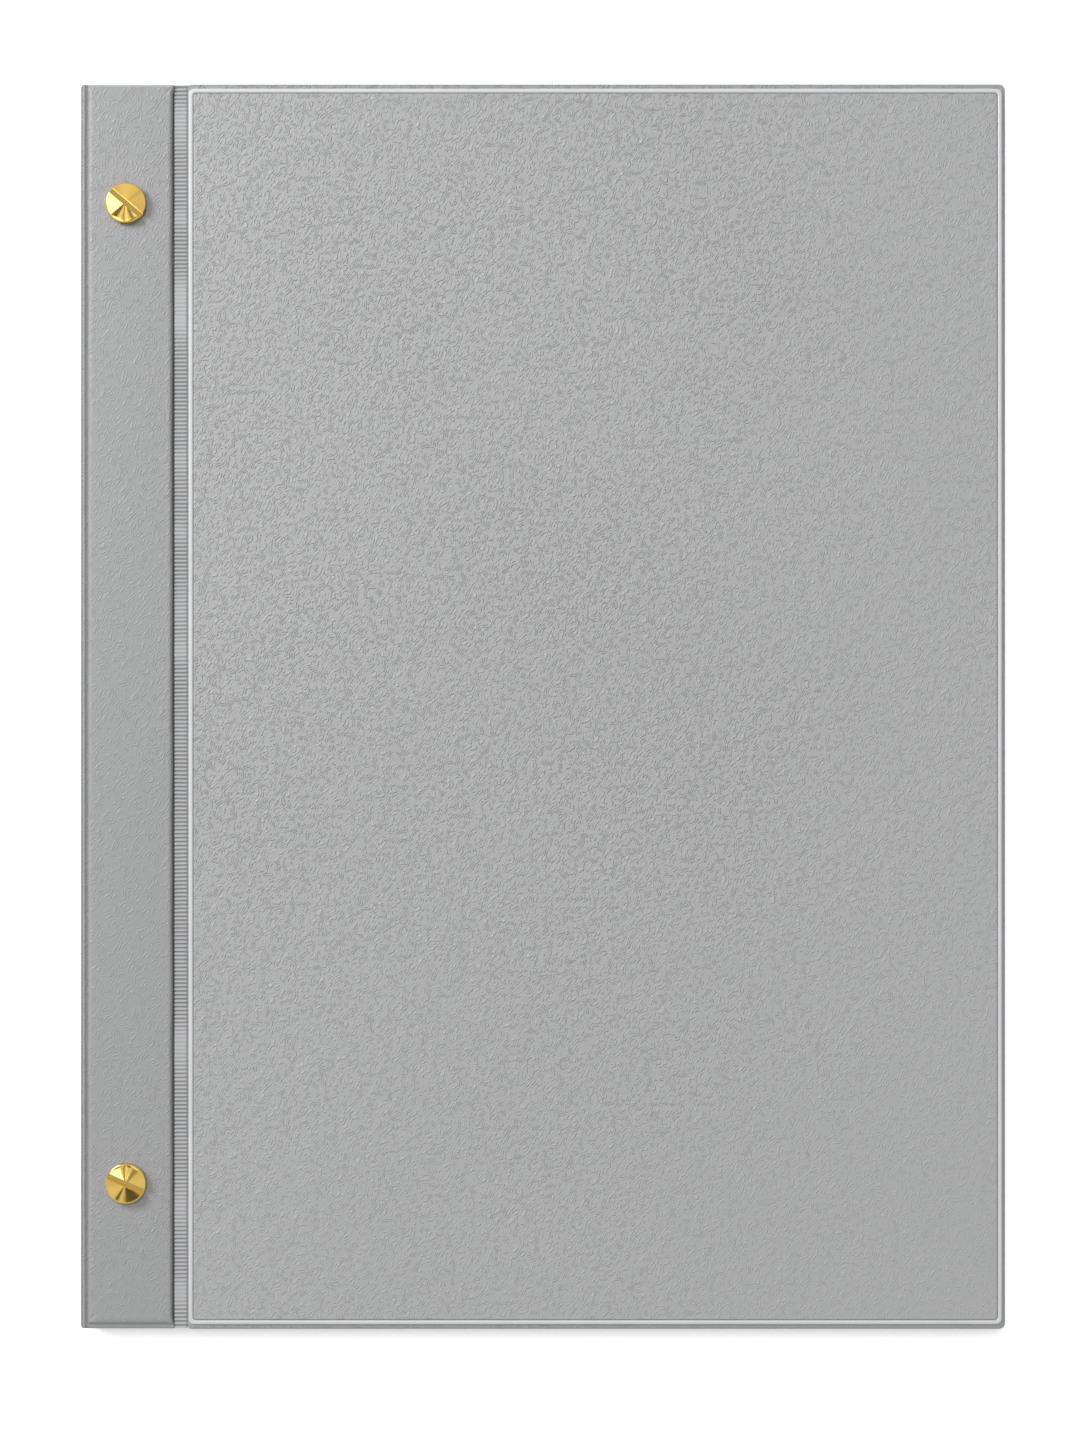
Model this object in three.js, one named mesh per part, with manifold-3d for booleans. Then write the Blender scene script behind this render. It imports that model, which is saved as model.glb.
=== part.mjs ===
// A display book for A4 sheets, closed and lying on its back cover, in millimetres, +Z up.
// Two welded vinyl covers and a spine wrap a block of clear pockets. A narrow strip at the spine side of
// each cover clamps the block between two binding posts and their slotted brass screws. A ribbed web
// joins each strip to its cover and folds along both its edges, so that the covers swing open.
// X runs from the spine to the fore edge, Y from tail to head, and the origin is under the middle.
import * as THREE from 'three';
import { mergeVertices } from 'three/addons/utils/BufferGeometryUtils.js';
import Module from 'manifold-3d';

// Sheets and boards
const bookHeight = 320; // tail to head
const bookCorner = 1.5; // corner radius seen from above
const innerCorner = 0.7; // corner radius of the pieces that the eye doesn't meet first
const vinylSheet = 0.5; // outer sheet
const liningSheet = 0.4; // inner sheet
const liningInset = 0.5; // from the edge of the outer sheet to the edge of the lining
const glueLine = 0.02; // between two layers
const wallWidth = 0.6; // outer sheet beside the edge of a board

// Covers
const panelWidth = 210; // hinge side to fore edge
const panelBoard = 2.0;
const panelEdge = 0.45; // rounding of the rim
const rimWidth = 0.85; // low rim outside the bead at the fore edge
const rimEndWidth = 1.25; // and at the head and the tail
const rimStep = 0.6; // from the raised field down to the rim
const fieldEdge = 0.3; // rounding of the raised field

// Pale bead round the raised field of a cover
const beadWidth = 1.2;
const beadHeight = 0.55;
const beadRound = 0.45;
const beadHingeInset = 0.15; // from the hinge side of the panel
const beadGroove = 0.06; // between the bead and the field

// Strips that clamp the pockets, and the spine
const stripWidth = 21.3;
const stripEndInset = 1.2; // from the head or tail to the padded part of a strip
const frontStripBoard = 2.5;
const frontShoulder = 1.1; // rounding of the padded part
const backStripBoard = 0.8;
const backShoulder = 0.35;
const seamFlange = 1.2; // flat seam between the spine and the padded part
const seamDrop = 1.1; // from the top of the front strip down to its flat seam
const backSeamDrop = 0.4;
const weltWidth = 0.6; // raised welt along the seam
const weltHeight = 0.25;
const weltFromSeam = 0.25;
const weltShoulder = 0.8; // share of the welt's width and height where its top turns down
const boardEndInset = 2.2; // from the head or tail to the end of a strip board
const boardSideInset = 1.0; // from the side of the padded part to the board
const spineLip = 1.0; // width of the spine seen from above
const spineRound = 0.9;
const spineLipRise = 0.09; // from the flat seam up to the lip of the spine
const spineBoard = 1.2;
const spineBoardInset = 2.2; // from the head or tail

// Ribbed webs
const webWidth = 3.2;
const webThickness = 0.9;
const webEndInset = 0.3; // from the head or tail
const ribPitch = 1.0;
const ribDepth = 0.25;
const webDrop = 0.6; // from the face of the front cover down to its web
const backWebDrop = 0.2; // from the face of the back strip to its web
const stripHingeGap = 0.75; // between a strip and its web
const panelHingeGap = 0.3; // between a web and its cover

// Block of clear pockets
const pageThickness = 5.0;
const pageSpineGap = 0.35;
const pageForeInset = 3.2;
const pageEndInset = 4.0;
const pageClearance = 0.1; // between the block and a cover

// Binding screws and posts
const screwFromSpine = 12.1;
const upperScrewFromHead = 31.0;
const lowerScrewFromTail = 37.8;
const headRadius = 5.15;
const headWall = 1.6; // straight side of a screw head
const headCone = 0.4; // rise of the turned face from its rim to its centre
const headBevel = 0.35;
const slotWidth = 1.3;
const slotDepth = 0.95;
const slotFlare = 0.15; // how far each side of a slot leans out by the top of the head
const upperSlotTurn = -40; // degrees from +X
const lowerSlotTurn = -24;
const shankRadius = 1.7;
const shankLength = 6.5;
const postHead = 1.3; // the book stands on these heads and on its back cover
const postRadius = 2.5;
const postWall = 0.5;
const postFloor = 1.4; // from the strip to the bottom of the threaded bore
const postGap = 0.6; // between the end of a post and the screw head
const holeClearance = 0.3;
const drillPoint = 0.6; // depth of the cone at the bottom of the threaded bore
const turnedEdge = 0.15; // small bevel on turned edges

// How finely round forms are drawn, and how far a cut runs past the piece that it cuts
const turnedSides = 40;
const holeSides = 28;
const roundEdgeSteps = 4;
const foldSteps = 5;
const overcut = 1;

// Stations along X, from the outside of the spine
const paddedLeft = spineLip + seamFlange;
const stripRight = paddedLeft + stripWidth;
const webLeft = stripRight + stripHingeGap;
const panelLeft = webLeft + webWidth + panelHingeGap;
const bookWidth = panelLeft + panelWidth;
const halfHeight = bookHeight / 2;

// Levels along Z
const panelThickness = liningSheet + panelBoard + vinylSheet + 2 * glueLine;
const backStripThickness = liningSheet + backStripBoard + vinylSheet + 2 * glueLine;
const frontStripThickness = liningSheet + frontStripBoard + vinylSheet + 2 * glueLine;
const backStripInner = Math.max(postHead + glueLine + backStripThickness, panelThickness + pageClearance);
const pageBottom = backStripInner + glueLine;
const pageTop = pageBottom + pageThickness;
const frontStripInner = pageTop + glueLine;
const frontPanelInner = pageTop + pageClearance;
const backStripFace = backStripInner - backStripThickness;
const frontStripFace = frontStripInner + frontStripThickness;
const frontPanelFace = frontPanelInner + panelThickness;

const wasm = await Module();
wasm.setup();

const vinyl = new THREE.MeshStandardMaterial({ color: 0xadaeb0, roughness: 0.55, metalness: 0 });
const ribbedVinyl = new THREE.MeshStandardMaterial({ color: 0xa2a3a5, roughness: 0.6, metalness: 0 });
const lining = new THREE.MeshStandardMaterial({ color: 0xa6a7a9, roughness: 0.65, metalness: 0 });
const paleBead = new THREE.MeshStandardMaterial({ color: 0xe4e5e7, roughness: 0.25, metalness: 0 });
const greyboard = new THREE.MeshStandardMaterial({ color: 0x8f8a80, roughness: 0.9, metalness: 0 });
const pocketFilm = new THREE.MeshStandardMaterial({ color: 0xe9eaea, roughness: 0.2, metalness: 0 });
const brass = new THREE.MeshStandardMaterial({ color: 0xd9b24c, roughness: 0.25, metalness: 1 });

// A closed three.js geometry as a solid that can be joined and cut.
function toSolid(geometry) {
  const bare = geometry.clone();
  bare.deleteAttribute('normal');
  bare.deleteAttribute('uv');
  const merged = mergeVertices(bare, 1e-4);
  const vertProperties = merged.attributes.position.array;
  const triVerts = new Uint32Array(merged.index.array);
  return new wasm.Manifold(new wasm.Mesh({ numProp: 3, vertProperties, triVerts }));
}

function toMesh(name, solid, material) {
  const cut = solid.getMesh();
  const geometry = new THREE.BufferGeometry();
  geometry.setAttribute('position', new THREE.BufferAttribute(cut.vertProperties, 3));
  geometry.setIndex(new THREE.BufferAttribute(cut.triVerts, 1));
  geometry.computeVertexNormals();
  const mesh = new THREE.Mesh(geometry, material);
  mesh.name = name;
  return mesh;
}

// A rectangle about the middle of the book's height, with its own corner radius at each side.
function outline(left, right, half, leftRadius, rightRadius = leftRadius, Kind = THREE.Shape) {
  const path = new Kind();
  path.moveTo(left + leftRadius, -half);
  path.lineTo(right - rightRadius, -half);
  path.absarc(right - rightRadius, rightRadius - half, rightRadius, -Math.PI / 2, 0);
  path.lineTo(right, half - rightRadius);
  path.absarc(right - rightRadius, half - rightRadius, rightRadius, 0, Math.PI / 2);
  path.lineTo(left + leftRadius, half);
  path.absarc(left + leftRadius, half - leftRadius, leftRadius, Math.PI / 2, Math.PI);
  path.lineTo(left, leftRadius - half);
  path.absarc(left + leftRadius, leftRadius - half, leftRadius, Math.PI, Math.PI * 1.5);
  return path;
}

// A flat piece from one level to another, with its edges rounded where edge is given.
function plate(shape, bottom, top, edge = 0, edgeSteps = 3) {
  const geometry = new THREE.ExtrudeGeometry(shape, {
    depth: top - bottom - 2 * edge,
    bevelEnabled: edge > 0,
    bevelThickness: edge,
    bevelSize: edge,
    bevelOffset: -edge,
    bevelSegments: edgeSteps,
    curveSegments: 2,
  });
  geometry.translate(0, 0, bottom + edge);
  return toSolid(geometry);
}

// A section drawn in X and Z, run along Y from tail to head.
function runAlongHeight(points, half) {
  const shape = new THREE.Shape(points.map(([x, z]) => new THREE.Vector2(x, z)));
  const geometry = new THREE.ExtrudeGeometry(shape, { depth: 2 * half, bevelEnabled: false });
  geometry.rotateX(Math.PI / 2);
  geometry.translate(0, half, 0);
  return toSolid(geometry);
}

// A profile of [radius, level] turned about a vertical axis.
function turn(profile) {
  const points = profile.map(([radius, level]) => new THREE.Vector2(radius, level));
  const geometry = new THREE.LatheGeometry(points, turnedSides);
  geometry.rotateX(Math.PI / 2);
  return toSolid(geometry);
}

const screws = [
  { name: 'upper', y: halfHeight - upperScrewFromHead, slotTurn: upperSlotTurn },
  { name: 'lower', y: lowerScrewFromTail - halfHeight, slotTurn: lowerSlotTurn },
];

// Cuts the two screw holes. side is -1 for a piece that is turned over to face down.
function punch(solid, bottom, top, side = 1) {
  const radius = postRadius + holeClearance;
  return screws.reduce((piece, screw) => {
    const hole = new THREE.CylinderGeometry(radius, radius, top - bottom, holeSides);
    hole.rotateX(Math.PI / 2);
    hole.translate(screwFromSpine, side * screw.y, (top + bottom) / 2);
    return piece.subtract(toSolid(hole));
  }, solid);
}

// One cover, face up, with its inner face at level 0.
function coverPanel(name) {
  const group = new THREE.Group();
  const right = panelLeft + panelWidth;
  const skinBottom = liningSheet + glueLine;
  const face = panelThickness;
  const rimLevel = face - rimStep;
  const fieldLeft = panelLeft + beadHingeInset + beadWidth + beadGroove;
  const fieldRight = right - rimWidth - beadWidth - beadGroove;
  const fieldHalf = halfHeight - rimEndWidth - beadWidth - beadGroove;

  // The board is stepped like the sheet over it: a full plate with a smaller raised field.
  const boardShape = (clearance, bottom, lowTop, highTop) => {
    const inset = wallWidth + clearance;
    const low = outline(panelLeft + inset, right - inset, halfHeight - inset, innerCorner);
    const fieldBoardInset = vinylSheet + clearance;
    const high = outline(
      fieldLeft + fieldBoardInset,
      fieldRight - fieldBoardInset,
      fieldHalf - fieldBoardInset,
      innerCorner,
    );
    return plate(low, bottom, lowTop).add(plate(high, bottom, highTop));
  };
  const lowTop = rimLevel - vinylSheet;
  const highTop = face - vinylSheet;

  const rim = plate(
    outline(panelLeft, right, halfHeight, innerCorner, bookCorner),
    skinBottom,
    rimLevel,
    panelEdge,
  );
  const field = plate(outline(fieldLeft, fieldRight, fieldHalf, innerCorner), skinBottom, face, fieldEdge);
  const room = boardShape(0, 0, lowTop, highTop);
  group.add(toMesh(name + '_skin', rim.add(field).subtract(room), vinyl));

  const board = boardShape(glueLine, skinBottom, lowTop - glueLine, highTop - glueLine);
  group.add(toMesh(name + '_board', board, greyboard));

  const sheet = outline(
    panelLeft + liningInset,
    right - liningInset,
    halfHeight - liningInset,
    innerCorner,
    bookCorner - liningInset,
  );
  group.add(toMesh(name + '_lining', plate(sheet, 0, liningSheet), lining));

  const ring = outline(
    panelLeft + beadHingeInset,
    right - rimWidth,
    halfHeight - rimEndWidth,
    bookCorner,
    bookCorner,
  );
  ring.holes.push(
    outline(
      panelLeft + beadHingeInset + beadWidth,
      right - rimWidth - beadWidth,
      halfHeight - rimEndWidth - beadWidth,
      innerCorner,
      innerCorner,
      THREE.Path,
    ),
  );
  const beadBottom = rimLevel + glueLine;
  const beadTop = beadBottom + beadHeight;
  const roundRing = plate(ring, beadBottom - beadRound, beadTop, beadRound, roundEdgeSteps);
  const below = plate(outline(panelLeft, right, halfHeight, innerCorner), beadBottom - overcut, beadBottom);
  group.add(toMesh(name + '_bead', roundRing.subtract(below), paleBead));
  return group;
}

// The outline of the strip side of the book, with the rounded corners at the spine.
function stripSideOutline(bottom, top) {
  return plate(outline(0, stripRight, halfHeight, bookCorner, innerCorner), bottom, top);
}

// One strip, face up, with its inner face at level 0.
function bindingStrip(name, boardThickness, shoulder, drop, side) {
  const group = new THREE.Group();
  const skinBottom = liningSheet + glueLine;
  const face = liningSheet + boardThickness + vinylSheet + 2 * glueLine;
  const seamLevel = face - drop;
  const paddedHalf = halfHeight - stripEndInset;

  const seamPlate = plate(
    outline(spineLip, stripRight, halfHeight, innerCorner),
    skinBottom,
    seamLevel,
  ).intersect(stripSideOutline(skinBottom - overcut, face + overcut));
  const padded = plate(
    outline(paddedLeft, stripRight, paddedHalf, shoulder + innerCorner),
    Math.min(skinBottom, face - 2 * shoulder - glueLine),
    face,
    shoulder,
    roundEdgeSteps,
  );
  const weltLeft = spineLip + weltFromSeam;
  const welt = runAlongHeight(
    [
      [weltLeft, seamLevel - weltHeight],
      [weltLeft + weltWidth, seamLevel - weltHeight],
      [weltLeft + weltWidth * weltShoulder, seamLevel + weltHeight * weltShoulder],
      [weltLeft + weltWidth / 2, seamLevel + weltHeight],
      [weltLeft + weltWidth * (1 - weltShoulder), seamLevel + weltHeight * weltShoulder],
    ],
    halfHeight - bookCorner,
  );
  const boardRoom = (clearance, bottom, top) =>
    plate(
      outline(
        paddedLeft + boardSideInset + clearance,
        stripRight - boardSideInset - clearance,
        halfHeight - boardEndInset - clearance,
        innerCorner,
      ),
      bottom,
      top,
    );
  const skin = seamPlate
    .add(padded)
    .add(welt)
    .subtract(plate(outline(0, stripRight, halfHeight, innerCorner), skinBottom - face, skinBottom))
    .subtract(boardRoom(0, skinBottom - overcut, face - vinylSheet));
  group.add(toMesh(name + '_skin', punch(skin, -overcut, face + overcut, side), vinyl));

  const board = boardRoom(glueLine, skinBottom, face - vinylSheet - glueLine);
  group.add(toMesh(name + '_board', punch(board, -overcut, face, side), greyboard));

  const sheet = outline(
    spineLip + glueLine,
    stripRight - liningInset,
    halfHeight - liningInset - bookCorner,
    innerCorner,
  );
  group.add(toMesh(name + '_lining', punch(plate(sheet, 0, liningSheet), -overcut, overcut, side), lining));
  return group;
}

// The spine wrap: a sheet with rounded folds and a lip along each seam, its board and its lining.
function spine() {
  const group = new THREE.Group();
  const top = frontStripFace - seamDrop + spineLipRise;
  const bottom = backStripFace + backSeamDrop - spineLipRise;
  const bookBottom = backStripInner + glueLine;
  const bookTop = frontStripInner - glueLine;
  const lipInner = spineLip - glueLine;
  const fold = (level, direction) =>
    Array.from({ length: foldSteps + 1 }, (unused, i) => {
      const angle = ((i / foldSteps) * Math.PI) / 2;
      const across = spineRound * (1 - Math.sin(angle));
      return [across, level - direction * spineRound * (1 - Math.cos(angle))];
    });
  const section = [
    [lipInner, top],
    ...fold(top, 1),
    ...fold(bottom, -1).reverse(),
    [lipInner, bottom],
    [lipInner, bookBottom],
    [vinylSheet, bookBottom],
    [vinylSheet, bookTop],
    [lipInner, bookTop],
  ];
  const outside = stripSideOutline(bottom - overcut, top + overcut);
  const wrap = runAlongHeight(section, halfHeight).intersect(outside);
  group.add(toMesh('spine_skin', wrap, vinyl));

  const upright = (left, width, name, material) => {
    const points = [
      [left, bookBottom + glueLine],
      [left + width, bookBottom + glueLine],
      [left + width, bookTop - glueLine],
      [left, bookTop - glueLine],
    ];
    group.add(toMesh(name, runAlongHeight(points, halfHeight - spineBoardInset), material));
  };
  upright(vinylSheet + glueLine, spineBoard, 'spine_board', greyboard);
  upright(vinylSheet + 2 * glueLine + spineBoard, liningSheet, 'spine_lining', lining);
  return group;
}

// A ribbed web: straight below, with a row of small ribs across its outer face, which is at level 0.
function web(name) {
  const half = halfHeight - webEndInset;
  const ribs = Math.round((2 * half) / ribPitch);
  const shape = new THREE.Shape();
  shape.moveTo(-half, -webThickness);
  shape.lineTo(half, -webThickness);
  for (let i = 2 * ribs; i >= 0; i--) {
    shape.lineTo(-half + (i * half) / ribs, i % 2 ? 0 : -ribDepth);
  }
  const geometry = new THREE.ExtrudeGeometry(shape, { depth: webWidth, bevelEnabled: false });
  geometry.rotateX(Math.PI / 2);
  geometry.rotateZ(Math.PI / 2);
  geometry.translate(webLeft, 0, 0);
  return toMesh(name, toSolid(geometry), ribbedVinyl);
}

function pocketPages() {
  const left = vinylSheet + spineBoard + liningSheet + 2 * glueLine + pageSpineGap;
  const sheet = outline(left, bookWidth - pageForeInset, halfHeight - pageEndInset, innerCorner);
  const block = punch(plate(sheet, pageBottom, pageTop), pageBottom - overcut, pageTop + overcut);
  return toMesh('pocket_pages', block, pocketFilm);
}

// A slotted screw. Level 0 is the underside of its head.
function bindingScrew({ name, y, slotTurn }) {
  const rimTop = headWall + headBevel;
  const faceTop = rimTop + headCone;
  const body = turn([
    [0, -shankLength],
    [shankRadius - turnedEdge, -shankLength],
    [shankRadius, turnedEdge - shankLength],
    [shankRadius, 0],
    [headRadius - turnedEdge, 0],
    [headRadius, turnedEdge],
    [headRadius, headWall],
    [headRadius - headBevel * (1 - Math.SQRT1_2), headWall + headBevel * Math.SQRT1_2],
    [headRadius - headBevel, rimTop],
    [0, faceTop],
  ]);
  const slotFloor = rimTop - slotDepth;
  const slotTop = faceTop + slotFlare;
  const slot = new THREE.Shape([
    new THREE.Vector2(-slotWidth / 2, slotFloor),
    new THREE.Vector2(slotWidth / 2, slotFloor),
    new THREE.Vector2(slotWidth / 2 + slotFlare, slotTop),
    new THREE.Vector2(-slotWidth / 2 - slotFlare, slotTop),
  ]);
  const slotBar = new THREE.ExtrudeGeometry(slot, { depth: 3 * headRadius, bevelEnabled: false });
  slotBar.rotateX(Math.PI / 2);
  slotBar.rotateZ(Math.PI / 2);
  slotBar.translate(-1.5 * headRadius, 0, 0);
  const screw = toMesh(name + '_screw', body.subtract(toSolid(slotBar)), brass);
  screw.position.set(screwFromSpine, y, frontStripFace + glueLine);
  screw.rotation.z = THREE.MathUtils.degToRad(slotTurn);
  return screw;
}

// The post that a screw turns into. Level 0 is the underside of its head.
function bindingPost({ name, y }) {
  const headTop = backStripFace - glueLine;
  const postTop = frontStripFace - postGap;
  const boreRadius = postRadius - postWall;
  const post = turn([
    [0, 0],
    [headRadius - 2 * turnedEdge, 0],
    [headRadius, 2 * turnedEdge],
    [headRadius, headTop - turnedEdge],
    [headRadius - turnedEdge, headTop],
    [postRadius, headTop],
    [postRadius, postTop - turnedEdge],
    [postRadius - turnedEdge, postTop],
    [boreRadius, postTop],
    [boreRadius, backStripFace + postFloor],
    [0, backStripFace + postFloor - drillPoint],
  ]);
  const mesh = toMesh(name + '_post', post, brass);
  mesh.position.set(screwFromSpine, y, 0);
  return mesh;
}

const displayBook = new THREE.Group();
displayBook.name = 'display_book';

const frontPanel = coverPanel('front_panel');
frontPanel.position.z = frontPanelInner;
const backPanel = coverPanel('back_panel');
backPanel.rotation.x = Math.PI;
backPanel.position.z = panelThickness;

const frontStrip = bindingStrip('front_strip', frontStripBoard, frontShoulder, seamDrop, 1);
frontStrip.position.z = frontStripInner;
const backStrip = bindingStrip('back_strip', backStripBoard, backShoulder, backSeamDrop, -1);
backStrip.rotation.x = Math.PI;
backStrip.position.z = backStripInner;

const frontWeb = web('front_web');
frontWeb.position.z = frontPanelFace - webDrop;
const backWeb = web('back_web');
backWeb.rotation.x = Math.PI;
backWeb.position.z = backStripFace + backWebDrop;

displayBook.add(frontPanel, backPanel, frontStrip, backStrip, frontWeb, backWeb, spine(), pocketPages());
for (const screw of screws) displayBook.add(bindingScrew(screw), bindingPost(screw));
displayBook.position.x = -bookWidth / 2;

export default displayBook;
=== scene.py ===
# looks of a display book: vinyl covers with a pale bead, a padded strip with brass screws, clear pockets
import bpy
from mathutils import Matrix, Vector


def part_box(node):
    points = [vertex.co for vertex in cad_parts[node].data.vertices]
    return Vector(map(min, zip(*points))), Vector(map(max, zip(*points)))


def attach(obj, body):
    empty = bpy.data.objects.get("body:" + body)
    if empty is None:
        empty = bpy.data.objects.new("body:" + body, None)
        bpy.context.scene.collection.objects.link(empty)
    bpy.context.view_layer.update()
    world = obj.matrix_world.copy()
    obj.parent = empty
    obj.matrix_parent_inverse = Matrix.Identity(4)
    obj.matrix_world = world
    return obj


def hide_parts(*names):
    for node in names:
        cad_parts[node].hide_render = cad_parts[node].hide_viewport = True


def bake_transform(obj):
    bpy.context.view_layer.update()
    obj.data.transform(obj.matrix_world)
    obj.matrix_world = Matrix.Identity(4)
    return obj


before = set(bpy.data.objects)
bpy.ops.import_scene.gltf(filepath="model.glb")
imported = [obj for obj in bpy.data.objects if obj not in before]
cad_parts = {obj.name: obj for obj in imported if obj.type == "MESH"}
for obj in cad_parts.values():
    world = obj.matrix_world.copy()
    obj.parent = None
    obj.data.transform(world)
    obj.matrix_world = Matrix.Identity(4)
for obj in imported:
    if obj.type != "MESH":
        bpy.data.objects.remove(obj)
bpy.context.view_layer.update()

import math
import random

import bmesh
import bpy
import numpy as np
from mathutils import Vector

scene = bpy.context.scene
mm = 0.001
print("frame loaded")

# places that the solids give, in metres
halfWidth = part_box("front_panel_skin")[1][0]
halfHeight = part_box("front_panel_skin")[1][1]
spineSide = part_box("spine_skin")[0][0]
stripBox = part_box("front_strip_skin")
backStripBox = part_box("back_strip_skin")
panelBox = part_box("front_panel_skin")
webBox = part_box("front_web")
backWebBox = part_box("back_web")
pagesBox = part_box("pocket_pages")


def newMaterial(name):
    material = bpy.data.materials.new(name)
    material.use_nodes = True
    nodes = material.node_tree.nodes
    return material, nodes, material.node_tree.links, nodes["Principled BSDF"]


def addNode(nodes, kind, **values):
    node = nodes.new(kind)
    for key, value in values.items():
        setattr(node, key, value)
    return node


def addMath(nodes, links, operation, a, b=None, clamp=False):
    node = addNode(nodes, "ShaderNodeMath", operation=operation, use_clamp=clamp)
    for socket, value in zip(node.inputs, (a, b)):
        if value is None:
            continue
        if isinstance(value, (int, float)):
            socket.default_value = value
        else:
            links.new(value, socket)
    return node.outputs[0]


def addNoise(nodes, links, vector, scale, detail=2.0, roughness=0.5, distortion=0.0, kind="FBM"):
    node = addNode(nodes, "ShaderNodeTexNoise", noise_type=kind)
    node.inputs["Scale"].default_value = scale
    node.inputs["Detail"].default_value = detail
    node.inputs["Roughness"].default_value = roughness
    node.inputs["Distortion"].default_value = distortion
    links.new(vector, node.inputs["Vector"])
    return node


def addMapping(nodes, links, vector, turn=(0, 0, 0), scale=(1, 1, 1), place=(0, 0, 0)):
    node = addNode(nodes, "ShaderNodeMapping")
    node.inputs["Rotation"].default_value = turn
    node.inputs["Scale"].default_value = scale
    node.inputs["Location"].default_value = place
    links.new(vector, node.inputs["Vector"])
    return node.outputs["Vector"]


def addRange(nodes, links, value, fromLow, fromHigh, toLow, toHigh, smooth=False):
    node = addNode(nodes, "ShaderNodeMapRange", interpolation_type="SMOOTHSTEP" if smooth else "LINEAR")
    links.new(value, node.inputs["Value"])
    for name, number in zip(("From Min", "From Max", "To Min", "To Max"), (fromLow, fromHigh, toLow, toHigh)):
        node.inputs[name].default_value = number
    return node.outputs["Result"]


def addMix(nodes, links, factor, a, b, blend="MIX"):
    node = addNode(nodes, "ShaderNodeMix", data_type="RGBA", blend_type=blend)
    if isinstance(factor, (int, float)):
        node.inputs["Factor"].default_value = factor
    else:
        links.new(factor, node.inputs["Factor"])
    for socket, value in ((node.inputs[6], a), (node.inputs[7], b)):
        if isinstance(value, tuple):
            socket.default_value = (*value, 1)
        else:
            links.new(value, socket)
    return node.outputs[2]


def addBump(nodes, links, height, distance, strength=1.0, normal=None):
    node = addNode(nodes, "ShaderNodeBump")
    node.inputs["Strength"].default_value = strength
    node.inputs["Distance"].default_value = distance
    links.new(height, node.inputs["Height"])
    if normal is not None:
        links.new(normal, node.inputs["Normal"])
    return node.outputs["Normal"]


coverVinyl = {
    "color": (0.362, 0.364, 0.369),
    "paleColor": (0.408, 0.410, 0.416),
    "roughness": 0.44,
    "gloss": 0.5,
    "creasePitch": 0.74 * mm,  # from one crease to the next
    "creaseTurn": math.radians(35),
    "swirl": 42.0,  # how far the creases wander, in radians of their pitch
    "swirlScale": 330.0,
    "breakScale": 800.0,
    "depth": 0.26 * mm,
    "fineDepth": 0.25,
    "fineScale": 2600.0,
    "patchScale": 28.0,  # of the patches where the grain is pressed flatter
    # painted highlight: the crests of the grain are painted paler
    "cloudScale": 14.0,
    "crestHighlight": 0.4,  # how much paler the crests are
    # dark colour of the painted shade in the grooves of the weld and the ribs
    "grooveShade": (0.06, 0.06, 0.062),
}
stripVinyl = dict(
    coverVinyl, creasePitch=0.85 * mm, swirl=34.0, breakScale=620.0, depth=0.11 * mm,
    color=(0.296, 0.298, 0.302), paleColor=(0.33, 0.332, 0.337),
)
webVinyl = dict(
    coverVinyl, depth=0.02 * mm, roughness=0.5, color=(0.40, 0.403, 0.408), paleColor=(0.43, 0.433, 0.439),
)
liningVinyl = dict(coverVinyl, creasePitch=0.6 * mm, depth=0.012 * mm, roughness=0.66, gloss=0.25)
# handling has worn the grain smoother towards the fore edge and the tail
wornGrain = {"start": 0.1 * halfWidth, "least": 0.6}
# the welded rim outside the bead is pressed thin and is painted darker, as painted shade along the edge; it
# is wider at the head and the tail
rimShade = {"full": 0.7 * mm, "none": 1.0 * mm, "wider": 0.4 * mm, "amount": 0.35, "tone": 0.5}


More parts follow.
